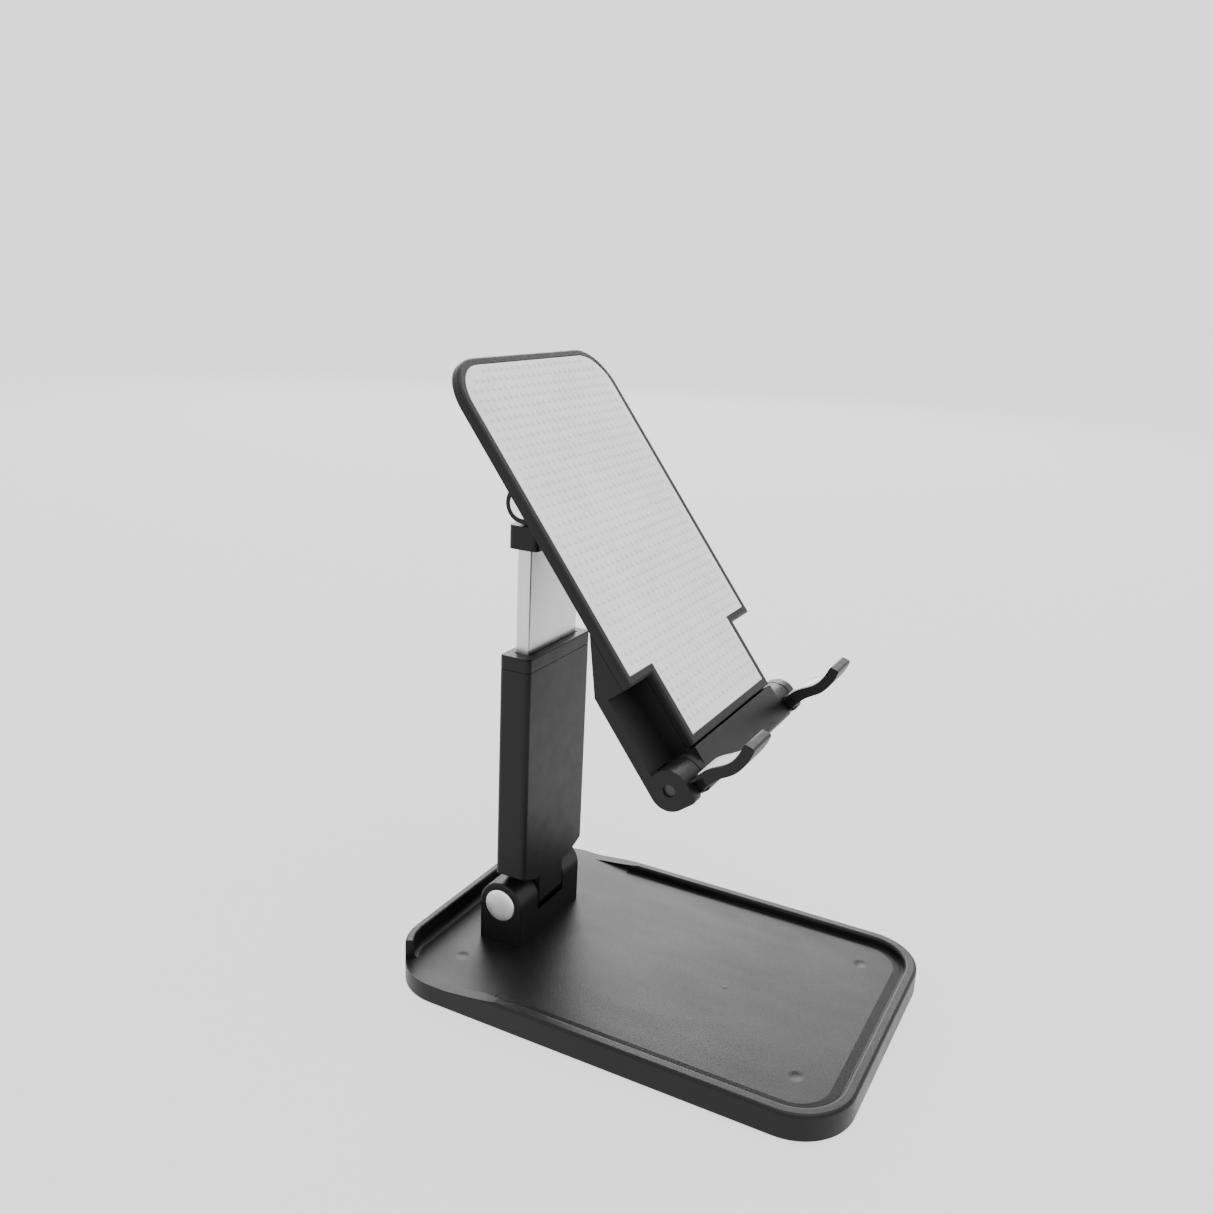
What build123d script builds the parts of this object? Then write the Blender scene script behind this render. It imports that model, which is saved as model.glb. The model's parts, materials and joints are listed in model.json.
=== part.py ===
"""Phone stand: a weighted tray base, a folding telescopic arm and a tilting head with folding hooks.

Millimetres. +Z is up, +X runs along every hinge pin, and -Y is the front, where the tray lies.
The origin is the middle of the footprint, on the surface that the stand rests on.
"""
from build123d import *

import os
from math import cos, hypot, radians, sin

# Fits and clearances
running_clearance = 0.05     # radial, between a pin and the part that turns on it
sliding_clearance = 0.10     # per side, between the slider's shoe and the tube
side_play = 0.10             # between parts that turn or slide past each other
seat_clearance = 0.10        # around a part dropped into its seat

# Base tray
base_width = 68.0
base_depth = 100.0
base_corner_r = 12.0
foot_proud = 0.4             # how far the foot pad lifts the tray's lower edge
floor_top_z = 4.8
floor_thick = 1.5
skirt_thick = 2.4
rim_height = 1.4
rim_width = 2.6
rim_edge_r = 0.7
rim_full_y = 22.0            # the side rims fade out between these two stations
rim_end_y = 34.0
groove_end_y = 24.0
groove_width = 2.4           # the floor slopes down into the groove beside the rim
groove_floor_width = 0.5
groove_depth = 0.3
skirt_edge_r = 0.5
back_wall_top_z = 9.0
back_wall_thick = 1.75
back_wall_turn = 33.0        # how far the back wall follows each corner round, in degrees
back_wall_foot_r = 1.2
back_wall_edge_r = 0.5

# Under the base
foot_thick = 0.8
foot_inset = 4.0
cover_thick = 1.0
weight_thick = 1.3
weight_inset = 2.0
cover_screw_pitch_x = 43.0
cover_screw_pitch_y = 76.0
screw_shank_r = 0.9
screw_head_r = 1.7
screw_head_h = 0.6
screw_reach = 3.0
boss_r = 2.2

# Base hinge
pin_y = 34.1
pin_z = 14.0
pin_r = 2.0
ear_r = 5.2
block_width = 26.0
tongue_width = 10.0
hinge_washer_thick = 0.4
hinge_washer_inset = 0.7
cradle_r = 6.1
heel_drop = 1.4              # how far the tongue's front heel reaches below the pin
block_edge_r = 0.5
cap_r = 3.65
cap_seat = 0.8
cap_proud = 0.25
pin_head_r = 3.0
pin_head_h = 1.6
nut_flats = 5.0
nut_h = 1.8

# Telescopic arm
arm_y = 32.0
tube_width = 26.0
tube_depth = 7.3
tube_edge_r = 1.2
tube_bottom_z = 19.6
tube_shoulder_z = 21.8       # the lower corners slope up to this height
tube_shoulder_x = 7.4
tube_top_z = 69.0
channel_width = 22.4
channel_depth = 4.5
channel_bottom_z = 25.0
collar_h = 3.0
bar_width = 20.0
bar_depth = 3.2
bar_clearance = 0.15
shoe_h = 14.8
shoe_floor = 2.0
slide_out = 6.0              # travel left above the pose built here
slide_stop_gap = 0.2
spring_width = 8.0
spring_length = 10.0
spring_thick = 0.2
spring_bow = 0.25

# Head hinge
head_pin_z = 103.6
head_pin_r = 1.75
knuckle_r = 3.7
knuckle_width = 12.0
lug_r = 4.0
lug_width = 4.6
head_washer_thick = 0.3
head_cap_r = 3.0
head_cap_seat = 0.8
head_cap_proud = 0.2
slider_head_width = 21.8
slider_head_depth = 6.8
slider_head_bottom_z = 94.2
slider_head_gap = 0.5        # between the lugs and the slider head below them
socket_depth = 3.8
slider_screw_r = 0.8
slider_screw_head_r = 1.3
slider_screw_pitch = 12.0

# Head plate, measured from the head pin: s runs up the plate, n runs out of its face
head_lean = 37.2             # from upright, in degrees
plate_width = 58.0
plate_top_s = 26.8
plate_back_n = 4.0
plate_thick = 8.0
plate_corner_r = 9.5
front_thick = 2.0
front_edge_r = 0.6
head_wall = 1.8
shell_slope = 10.5           # how far the back shell slopes in, from the front to its flat back
shell_corner_r = 3.0
shell_step = 0.2             # how far the back shell stands in from the front's edge
low_block_top_s = -40.0      # the full-width lower block ends here, in a slope of its own
lower_edge_r = 1.0
roll_s = -61.0               # centre of the rounded lower end, which holds the hook pins
pad_thick = 0.9
pad_border = 1.7
head_screw_x = 15.0
head_screw_s = (12.0, -34.0)
head_screw_r = 0.8
head_screw_head_r = 1.5
head_screw_head_h = 1.2
head_boss_r = 2.1
head_seat_h = 0.9

# Hooks
hook_inner_x = 20.0
hook_width = 8.4
hook_tongue_width = 3.8
hook_tongue_inset = 2.3
hook_pin_r = 1.2
hook_pin_inset = 0.5
hook_knuckle_clearance = 0.3
hook_pad_thick = 0.8
hook_pad_side = 0.9
hook_pad_proud = 0.15
hook_pocket_depth = 1.7      # behind the hook's pin, where the folded hook lies
hook_end_clearance = 0.4
hook_root = 0.8              # how far the hook's tongue runs into its arm
hook_notch_length = 3.2      # beside the tongue, the arm's lower half starts this far out
hook_notch_s = -0.5
hook_lip_r = 0.5
# The hook's two outlines from shoulder to lip: s from its pin, n from the plate's face
hook_inner_line = ((-0.3, 0.2), (0.1, 2.0), (0.3, 5.0), (-0.3, 9.1), (0.2, 11.3), (1.0, 13.0), (1.6, 14.0))
hook_outer_line = ((-3.1, 0.2), (-2.2, 3.5), (-2.05, 6.0), (-2.4, 8.8), (-1.8, 12.1), (-0.1, 15.2))

# Values worked out from the sizes above
rim_top_z = floor_top_z + rim_height
corner_x = base_width / 2 - base_corner_r
corner_y = base_depth / 2 - base_corner_r
wall_h = back_wall_top_z - floor_top_z
cavity_top_z = floor_top_z - floor_thick
cover_top_z = foot_thick + cover_thick
ear_inner_x = tongue_width / 2 + hinge_washer_thick + side_play
pin_half = block_width / 2 - cap_seat
shoe_top_z = tube_top_z - slide_out - slide_stop_gap
shoe_bottom_z = shoe_top_z - shoe_h
bar_bottom_z = shoe_bottom_z + shoe_floor
bar_top_z = slider_head_bottom_z + socket_depth
shoe_width = channel_width - 2 * sliding_clearance
shoe_depth = channel_depth - 2 * sliding_clearance
lug_inner_x = knuckle_width / 2 + head_washer_thick + side_play
lug_outer_x = lug_inner_x + lug_width
plate_front_n = plate_back_n + plate_thick
parting_n = plate_front_n - front_thick
roll_r = plate_thick / 2
roll_n = plate_back_n + roll_r
cavity_back_n = plate_back_n + head_wall
pocket_inner_x = hook_inner_x - side_play
hook_tip_n = max(n for s, n in hook_outer_line)
pocket_top_s = roll_s + roll_r + hook_tip_n + hook_end_clearance
pocket_floor_n = roll_n - hook_pocket_depth
knuckle_sweep_r = roll_r + hook_knuckle_clearance
shell_depth = parting_n - plate_back_n
wall_across_slope = head_wall * hypot(shell_slope, shell_depth) / shell_depth
cavity_front_inset = shell_step + wall_across_slope
cavity_back_inset = cavity_front_inset + shell_slope * (parting_n - cavity_back_n) / shell_depth
front_bottom_s = roll_s + roll_r + hook_knuckle_clearance
hook_slot_x = hook_inner_x + hook_tongue_inset
plate_side_x = plate_width / 2

lean = radians(head_lean)
up_plate = Vector(0, sin(lean), cos(lean))
out_of_plate = Vector(0, -cos(lean), sin(lean))
head_pin_centre = Vector(0, arm_y, head_pin_z)
head_face_axis = Axis(head_pin_centre, out_of_plate)


def across(x):
    """The plane at this x: its own x and y are the stand's Y and Z, and it faces +X."""
    return Plane.YZ.offset(x)


def head_side(x):
    """The plane at this x for profiles of the head: its own x and y are s and n."""
    return Plane(origin=head_pin_centre + Vector(x, 0, 0), x_dir=up_plate, z_dir=(1, 0, 0))


def head_face(n):
    """The plane parallel to the plate at height n above the head pin: its own x and y are X and s."""
    return Plane(origin=head_pin_centre + out_of_plate * n, x_dir=(1, 0, 0), z_dir=out_of_plate)


def base_outline(inset):
    """The base's rounded footprint, drawn in by this inset."""
    RectangleRounded(base_width - 2 * inset, base_depth - 2 * inset, base_corner_r - inset)


def plate_outline(inset, bottom_s, least_corner_r=0.0):
    """The plate's outline above bottom_s, rounded at its two upper corners."""
    top_s = plate_top_s - inset
    with Locations((0, (top_s + bottom_s) / 2)):
        plate = Rectangle(plate_width - 2 * inset, top_s - bottom_s)
    fillet(plate.vertices().group_by(Axis.Y)[-1], max(plate_corner_r - inset, least_corner_r))


def lower_end():
    """The profile of the head's lower end: flat in front, with a small edge, and half round behind."""
    with Locations((roll_s, roll_n)):
        Circle(roll_r)
    with Locations((roll_s - roll_r / 2, roll_n + roll_r / 2)):
        front_corner = Rectangle(roll_r, roll_r)
    fillet(front_corner.vertices().sort_by(Axis.Y)[-2:].sort_by(Axis.X)[0], lower_edge_r)


# ---- Base ----

with BuildPart() as base_tray:
    with BuildSketch(Plane.XY.offset(foot_proud)):
        base_outline(0)
    extrude(amount=floor_top_z - foot_proud)
    with BuildSketch(Plane.XY.offset(floor_top_z)):
        base_outline(0)
        with BuildSketch(mode=Mode.SUBTRACT):
            base_outline(rim_width)
    extrude(amount=rim_height)
    fillet(base_tray.edges().filter_by_position(Axis.Z, rim_top_z, rim_top_z), rim_edge_r)
    with BuildSketch(across(0)):
        with BuildLine():
            Polyline(
                (rim_full_y, rim_top_z),
                (rim_end_y, floor_top_z),
                (base_depth, floor_top_z),
                (base_depth, rim_top_z),
                close=True,
            )
        make_face()
    extrude(amount=base_width, both=True, mode=Mode.SUBTRACT)
    with BuildSketch(Plane.XY.offset(floor_top_z - groove_depth)):
        base_outline(rim_width)
        with Locations((0, groove_end_y - base_depth / 2)):
            Rectangle(base_width, base_depth, mode=Mode.INTERSECT)
    extrude(amount=groove_depth, mode=Mode.SUBTRACT)
    # The floor stands up again inside the groove, with sloping sides
    with BuildSketch(Plane.XY.offset(floor_top_z - groove_depth)):
        base_outline(rim_width + groove_floor_width)
    with BuildSketch(Plane.XY.offset(floor_top_z)):
        base_outline(rim_width + groove_width)
    loft()
    # The back wall runs round the back edge, with a rounded top and a curved foot
    with BuildLine(Plane.XY.offset(floor_top_z)) as back_edge:
        CenterArc((-corner_x, corner_y), base_corner_r, 90 + back_wall_turn, -back_wall_turn)
        Line((-corner_x, base_depth / 2), (corner_x, base_depth / 2))
        CenterArc((corner_x, corner_y), base_corner_r, 90, -back_wall_turn)
    wall_outwards = Vector(0, 0, 1).cross(back_edge.line % 0)
    with BuildSketch(Plane(origin=back_edge.line @ 0, x_dir=wall_outwards, z_dir=back_edge.line % 0)):
        with BuildLine():
            Line((0, 0), (0, wall_h - back_wall_edge_r))
            RadiusArc((0, wall_h - back_wall_edge_r), (-back_wall_edge_r, wall_h), -back_wall_edge_r)
            Line((-back_wall_edge_r, wall_h), (back_wall_edge_r - back_wall_thick, wall_h))
            RadiusArc(
                (back_wall_edge_r - back_wall_thick, wall_h),
                (-back_wall_thick, wall_h - back_wall_edge_r),
                -back_wall_edge_r,
            )
            Line((-back_wall_thick, wall_h - back_wall_edge_r), (-back_wall_thick, back_wall_foot_r))
            RadiusArc(
                (-back_wall_thick, back_wall_foot_r),
                (-back_wall_thick - back_wall_foot_r, 0),
                back_wall_foot_r,
            )
            Line((-back_wall_thick - back_wall_foot_r, 0), (0, 0))
        make_face()
    sweep(path=back_edge.line)
    fillet(base_tray.edges().filter_by_position(Axis.Z, foot_proud, foot_proud), skirt_edge_r)
    # The hinge block: two ears on one foot, with a round cradle between them for the arm's tongue
    with BuildSketch(across(-block_width / 2)):
        with Locations((pin_y, pin_z)):
            Circle(ear_r)
        with Locations((pin_y, (pin_z + floor_top_z) / 2)):
            Rectangle(2 * ear_r, pin_z - floor_top_z)
    extrude(amount=block_width)
    above_floor = base_tray.edges().filter_by_position(Axis.Z, floor_top_z + block_edge_r, pin_z + ear_r)
    for side_x in (-block_width / 2, block_width / 2):
        fillet(above_floor.filter_by_position(Axis.X, side_x, side_x), block_edge_r)
    with BuildSketch(across(-ear_inner_x)):
        with Locations((pin_y, pin_z)):
            Circle(cradle_r)
        with Locations((pin_y, pin_z + ear_r)):
            Rectangle(2 * cradle_r, 2 * ear_r)
    extrude(amount=2 * ear_inner_x, mode=Mode.SUBTRACT)
    with Locations(across(0)):
        with Locations((pin_y, pin_z)):
            Cylinder(pin_r, block_width, mode=Mode.SUBTRACT)
    for side in (-1, 1):
        with BuildSketch(across(side * pin_half)):
            with Locations((pin_y, pin_z)):
                Circle(cap_r)
        extrude(amount=side * cap_seat, mode=Mode.SUBTRACT)
    with BuildSketch(across(-pin_half)):
        with Locations((pin_y, pin_z)):
            Circle(pin_head_r)
    extrude(amount=pin_head_h, mode=Mode.SUBTRACT)
    with BuildSketch(across(pin_half)):
        with Locations((pin_y, pin_z)):
            RegularPolygon(nut_flats / 2, 6, major_radius=False)
    extrude(amount=-nut_h, mode=Mode.SUBTRACT)
    # The hollow underneath, with four bosses for the cover's screws
    with BuildSketch(Plane.XY.offset(foot_proud)):
        base_outline(skirt_thick)
    extrude(amount=cavity_top_z - foot_proud, mode=Mode.SUBTRACT)
    with BuildSketch(Plane.XY.offset(cover_top_z)):
        with GridLocations(cover_screw_pitch_x, cover_screw_pitch_y, 2, 2):
            Circle(boss_r)
    extrude(amount=cavity_top_z - cover_top_z)
    with BuildSketch(Plane.XY.offset(cover_top_z)):
        with GridLocations(cover_screw_pitch_x, cover_screw_pitch_y, 2, 2):
            Circle(screw_shank_r)
    extrude(amount=screw_reach - cover_thick, mode=Mode.SUBTRACT)

with BuildPart() as bottom_cover:
    with BuildSketch(Plane.XY.offset(foot_thick)):
        base_outline(skirt_thick + seat_clearance)
    extrude(amount=cover_thick)
    with BuildSketch(Plane.XY.offset(foot_thick)):
        with GridLocations(cover_screw_pitch_x, cover_screw_pitch_y, 2, 2):
            Circle(screw_head_r)
    extrude(amount=screw_head_h, mode=Mode.SUBTRACT)
    with BuildSketch(Plane.XY.offset(foot_thick)):
        with GridLocations(cover_screw_pitch_x, cover_screw_pitch_y, 2, 2):
            Circle(screw_shank_r)
    extrude(amount=cover_thick, mode=Mode.SUBTRACT)

with BuildPart() as counterweight:
    with BuildSketch(Plane.XY.offset(cavity_top_z - weight_thick)):
        base_outline(skirt_thick + weight_inset)
        with GridLocations(cover_screw_pitch_x, cover_screw_pitch_y, 2, 2):
            Circle(boss_r + seat_clearance, mode=Mode.SUBTRACT)
    extrude(amount=weight_thick)

with BuildPart() as foot_pad:
    with BuildSketch(Plane.XY):
        base_outline(foot_inset)
    extrude(amount=foot_thick)

with BuildPart() as cover_screws:
    with BuildSketch(Plane.XY.offset(foot_thick)):
        with GridLocations(cover_screw_pitch_x, cover_screw_pitch_y, 2, 2):
            Circle(screw_head_r)
    extrude(amount=screw_head_h)
    with BuildSketch(Plane.XY.offset(foot_thick)):
        with GridLocations(cover_screw_pitch_x, cover_screw_pitch_y, 2, 2):
            Circle(screw_shank_r)
    extrude(amount=screw_reach)

# ---- Base hinge ----

with BuildPart() as base_hinge_pin:
    with BuildSketch(across(-pin_half)):
        with Locations((pin_y, pin_z)):
            Circle(pin_r)
    extrude(amount=2 * pin_half)
    with BuildSketch(across(-pin_half)):
        with Locations((pin_y, pin_z)):
            Circle(pin_head_r)
    extrude(amount=pin_head_h)

with BuildPart() as base_hinge_nut:
    with BuildSketch(across(pin_half)):
        with Locations((pin_y, pin_z)):
            RegularPolygon(nut_flats / 2, 6, major_radius=False)
            Circle(pin_r, mode=Mode.SUBTRACT)
    extrude(amount=-nut_h)

with BuildPart() as base_hinge_cap_right:
    with BuildSketch(across(pin_half)):
        with Locations((pin_y, pin_z)):
            Circle(cap_r)
    extrude(amount=cap_seat + cap_proud)
    fillet(base_hinge_cap_right.edges().sort_by(Axis.X)[-1], cap_proud)

with BuildPart() as base_hinge_cap_left:
    mirror(base_hinge_cap_right.part, about=Plane.YZ)

with BuildPart() as base_hinge_washers:
    for side in (-1, 1):
        with BuildSketch(across(side * ear_inner_x)):
            with Locations((pin_y, pin_z)):
                Circle(ear_r - hinge_washer_inset)
                Circle(pin_r, mode=Mode.SUBTRACT)
        extrude(amount=-side * hinge_washer_thick)

# ---- Telescopic arm ----

with BuildPart() as arm_tube:
    with BuildSketch(Plane.XY.offset(tube_bottom_z)):
        with Locations((0, arm_y)):
            RectangleRounded(tube_width, tube_depth, tube_edge_r)
    extrude(amount=tube_top_z - tube_bottom_z)
    with BuildSketch(Plane.XZ.offset(-arm_y)):
        for side in (-1, 1):
            with BuildLine():
                Polyline(
                    (side * tube_shoulder_x, tube_bottom_z),
                    (side * tube_width / 2, tube_shoulder_z),
                    (side * tube_width / 2, tube_bottom_z),
                    close=True,
                )
            make_face()
    extrude(amount=tube_depth, both=True, mode=Mode.SUBTRACT)
    with BuildSketch(across(-tongue_width / 2)):
        with Locations((pin_y, pin_z)):
            Circle(ear_r)
        with BuildLine():
            Polyline(
                (pin_y - ear_r, pin_z - heel_drop),
                (pin_y, pin_z - heel_drop),
                (arm_y + tube_depth / 2, tube_bottom_z),
                (arm_y + tube_depth / 2, channel_bottom_z),
                (pin_y - ear_r, channel_bottom_z),
                close=True,
            )
        make_face()
    extrude(amount=tongue_width)
    with BuildSketch(Plane.XY.offset(channel_bottom_z)):
        with Locations((0, arm_y)):
            Rectangle(channel_width, channel_depth)
    extrude(amount=tube_top_z - channel_bottom_z, mode=Mode.SUBTRACT)
    with Locations(across(0)):
        with Locations((pin_y, pin_z)):
            Cylinder(pin_r + running_clearance, tongue_width, mode=Mode.SUBTRACT)

with BuildPart() as arm_collar:
    with BuildSketch(Plane.XY.offset(tube_top_z)):
        with Locations((0, arm_y)):
            RectangleRounded(tube_width, tube_depth, tube_edge_r)
            Rectangle(bar_width + 2 * bar_clearance, bar_depth + 2 * bar_clearance, mode=Mode.SUBTRACT)
    extrude(amount=collar_h)
    fillet(arm_collar.edges().group_by(Axis.Z)[-1].sort_by(SortBy.LENGTH)[-2:], tube_edge_r / 3)

with BuildPart() as slider_bar:
    with BuildSketch(Plane.XY.offset(bar_bottom_z)):
        with Locations((0, arm_y)):
            Rectangle(bar_width, bar_depth)
    extrude(amount=bar_top_z - bar_bottom_z)
    with Locations(Plane.XZ.offset(-arm_y)):
        with Locations((0, slider_head_bottom_z + socket_depth / 2)):
            with GridLocations(slider_screw_pitch, 1, 2, 1):
                Cylinder(slider_screw_r, bar_depth, mode=Mode.SUBTRACT)

with BuildPart() as slider_shoe:
    with BuildSketch(Plane.XY.offset(shoe_bottom_z)):
        with Locations((0, arm_y)):
            Rectangle(shoe_width, shoe_depth)
    extrude(amount=shoe_h)
    with BuildSketch(Plane.XY.offset(bar_bottom_z)):
        with Locations((0, arm_y)):
            Rectangle(bar_width, bar_depth)
    extrude(amount=shoe_h, mode=Mode.SUBTRACT)
    with BuildSketch(Plane.XZ.offset(-arm_y - bar_depth / 2)):
        with Locations((0, shoe_bottom_z + shoe_h / 2)):
            Rectangle(spring_width + side_play, spring_length + side_play)
    extrude(amount=-shoe_depth, mode=Mode.SUBTRACT)

# A bowed leaf in the shoe's window: its ends bear on the bar and its middle on the tube
with BuildPart() as brake_spring:
    with BuildSketch(across(-spring_width / 2)):
        leaf_y = arm_y + bar_depth / 2
        leaf_z = shoe_bottom_z + shoe_h / 2
        with BuildLine():
            ThreePointArc(
                (leaf_y, leaf_z - spring_length / 2),
                (leaf_y + spring_bow, leaf_z),
                (leaf_y, leaf_z + spring_length / 2),
            )
            Line((leaf_y, leaf_z + spring_length / 2), (leaf_y + spring_thick, leaf_z + spring_length / 2))
            ThreePointArc(
                (leaf_y + spring_thick, leaf_z + spring_length / 2),
                (leaf_y + spring_thick + spring_bow, leaf_z),
                (leaf_y + spring_thick, leaf_z - spring_length / 2),
            )
            Line((leaf_y + spring_thick, leaf_z - spring_length / 2), (leaf_y, leaf_z - spring_length / 2))
        make_face()
    extrude(amount=spring_width)

with BuildPart() as slider_head:
    with BuildSketch(Plane.XY.offset(slider_head_bottom_z)):
        with Locations((0, arm_y)):
            RectangleRounded(slider_head_width, slider_head_depth, tube_edge_r)
    extrude(amount=head_pin_z - lug_r - slider_head_gap - slider_head_bottom_z)
    with BuildSketch(across(-knuckle_width / 2)):
        with Locations((arm_y, head_pin_z)):
            Circle(knuckle_r)
        with Locations((arm_y, (head_pin_z + bar_top_z) / 2)):
            Rectangle(slider_head_depth, head_pin_z - bar_top_z)
    extrude(amount=knuckle_width)
    with BuildSketch(Plane.XY.offset(slider_head_bottom_z)):
        with Locations((0, arm_y)):
            Rectangle(bar_width, bar_depth)
    extrude(amount=socket_depth, mode=Mode.SUBTRACT)
    with Locations(across(0)):
        with Locations((arm_y, head_pin_z)):
            Cylinder(head_pin_r + running_clearance, knuckle_width, mode=Mode.SUBTRACT)
    with BuildSketch(Plane.XZ.offset(-arm_y - slider_head_depth / 2)):
        with Locations((0, slider_head_bottom_z + socket_depth / 2)):
            with GridLocations(slider_screw_pitch, 1, 2, 1):
                Circle(slider_screw_head_r)
    extrude(amount=slider_screw_r, mode=Mode.SUBTRACT)
    with BuildSketch(Plane.XZ.offset(-arm_y - slider_head_depth / 2)):
        with Locations((0, slider_head_bottom_z + socket_depth / 2)):
            with GridLocations(slider_screw_pitch, 1, 2, 1):
                Circle(slider_screw_r)
    extrude(amount=slider_head_depth / 2, mode=Mode.SUBTRACT)

with BuildPart() as slider_screws:
    with BuildSketch(Plane.XZ.offset(-arm_y - slider_head_depth / 2)):
        with Locations((0, slider_head_bottom_z + socket_depth / 2)):
            with GridLocations(slider_screw_pitch, 1, 2, 1):
                Circle(slider_screw_head_r)
    extrude(amount=slider_screw_r)
    with BuildSketch(Plane.XZ.offset(-arm_y - slider_head_depth / 2)):
        with Locations((0, slider_head_bottom_z + socket_depth / 2)):
            with GridLocations(slider_screw_pitch, 1, 2, 1):
                Circle(slider_screw_r)
    extrude(amount=(slider_head_depth + bar_depth) / 2)

# ---- Head hinge ----

with BuildPart() as head_hinge_pin:
    with BuildSketch(across(head_cap_seat - lug_outer_x)):
        with Locations((arm_y, head_pin_z)):
            Circle(head_pin_r)
    extrude(amount=2 * (lug_outer_x - head_cap_seat))

with BuildPart() as head_hinge_cap_right:
    with BuildSketch(across(lug_outer_x - head_cap_seat)):
        with Locations((arm_y, head_pin_z)):
            Circle(head_cap_r)
    extrude(amount=head_cap_seat + head_cap_proud)
    fillet(head_hinge_cap_right.edges().sort_by(Axis.X)[-1], head_cap_proud)

with BuildPart() as head_hinge_cap_left:
    mirror(head_hinge_cap_right.part, about=Plane.YZ)

with BuildPart() as head_hinge_washers:
    for side in (-1, 1):
        with BuildSketch(across(side * lug_inner_x)):
            with Locations((arm_y, head_pin_z)):
                Circle(knuckle_r)
                Circle(head_pin_r, mode=Mode.SUBTRACT)
        extrude(amount=-side * head_washer_thick)

# ---- Head ----

with BuildPart() as head_back:
    # A shell that slopes in from the front's edge to a smaller flat back
    with BuildSketch(head_face(plate_back_n)):
        plate_outline(shell_slope, roll_s, shell_corner_r)
    with BuildSketch(head_face(parting_n)):
        plate_outline(shell_step, roll_s)
    loft()
    # The full-width lower block, sloped at its upper end
    with BuildSketch(head_side(-plate_side_x)):
        with BuildLine():
            Polyline(
                (roll_s, plate_back_n),
                (low_block_top_s, plate_back_n),
                (low_block_top_s + shell_slope, parting_n),
                (roll_s, parting_n),
                close=True,
            )
        make_face()
    extrude(amount=plate_width)
    # The lower end: flat in front and rounded behind
    with BuildSketch(head_side(-plate_side_x)):
        lower_end()
        with Locations((roll_s + roll_r / 2, roll_n)):
            Rectangle(roll_r, plate_thick)
    extrude(amount=plate_width)
    # A pocket at each lower corner for the folded hook, open at the side, and the barrel below it
    for side in (-1, 1):
        with BuildSketch(head_side(side * pocket_inner_x)):
            with Locations(((roll_s + pocket_top_s) / 2 - roll_r, pocket_floor_n + plate_thick / 2)):
                Rectangle(pocket_top_s - roll_s + 2 * roll_r, plate_thick)
        extrude(amount=side * (plate_side_x - pocket_inner_x), mode=Mode.SUBTRACT)
        with BuildSketch(head_side(side * pocket_inner_x)):
            lower_end()
        extrude(amount=side * (plate_side_x - pocket_inner_x))
        with BuildSketch(head_side(side * (hook_slot_x - side_play))):
            with Locations((roll_s, roll_n)):
                Circle(knuckle_sweep_r)
            with Locations((roll_s - roll_r, roll_n)):
                Rectangle(2 * roll_r, 2 * knuckle_sweep_r)
        extrude(amount=side * (hook_tongue_width + 2 * side_play), mode=Mode.SUBTRACT)
    for side in (-1, 1):
        with BuildSketch(head_side(side * pocket_inner_x)):
            with Locations((roll_s, roll_n)):
                Circle(hook_pin_r)
        extrude(amount=side * (plate_side_x - pocket_inner_x), mode=Mode.SUBTRACT)
    # The hollow inside, closed by the front
    with BuildSketch(head_face(cavity_back_n)):
        plate_outline(cavity_back_inset, pocket_top_s + head_wall, shell_corner_r)
    with BuildSketch(head_face(parting_n)):
        plate_outline(cavity_front_inset, pocket_top_s + head_wall)
    loft(mode=Mode.SUBTRACT)
    with BuildSketch(head_face(cavity_back_n)):
        with Locations((0, (pocket_top_s + front_bottom_s) / 2 + head_wall)):
            Rectangle(2 * (pocket_inner_x - head_wall), pocket_top_s - front_bottom_s)
    extrude(amount=parting_n - cavity_back_n, mode=Mode.SUBTRACT)
    # Two lugs on the back for the head pin
    for side in (-1, 1):
        with BuildSketch(head_side(side * lug_inner_x)):
            Circle(lug_r)
            with Locations((0, plate_back_n / 2)):
                Rectangle(2 * lug_r, plate_back_n)
        extrude(amount=side * lug_width)
        with BuildSketch(head_side(side * lug_outer_x)):
            Circle(head_cap_r)
        extrude(amount=-side * head_cap_seat, mode=Mode.SUBTRACT)
    with Locations(head_side(0)):
        Cylinder(head_pin_r, 2 * lug_outer_x, mode=Mode.SUBTRACT)
    # Seats for the four screws that hold the front
    with BuildSketch(head_face(cavity_back_n)):
        for s in head_screw_s:
            with Locations((-head_screw_x, s), (head_screw_x, s)):
                Circle(head_boss_r)
    extrude(amount=head_seat_h)
    with BuildSketch(head_face(plate_back_n)):
        for s in head_screw_s:
            with Locations((-head_screw_x, s), (head_screw_x, s)):
                Circle(head_screw_head_r)
    extrude(amount=head_screw_head_h, mode=Mode.SUBTRACT)
    with BuildSketch(head_face(plate_back_n)):
        for s in head_screw_s:
            with Locations((-head_screw_x, s), (head_screw_x, s)):
                Circle(head_screw_r)
    extrude(amount=parting_n - plate_back_n, mode=Mode.SUBTRACT)

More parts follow.
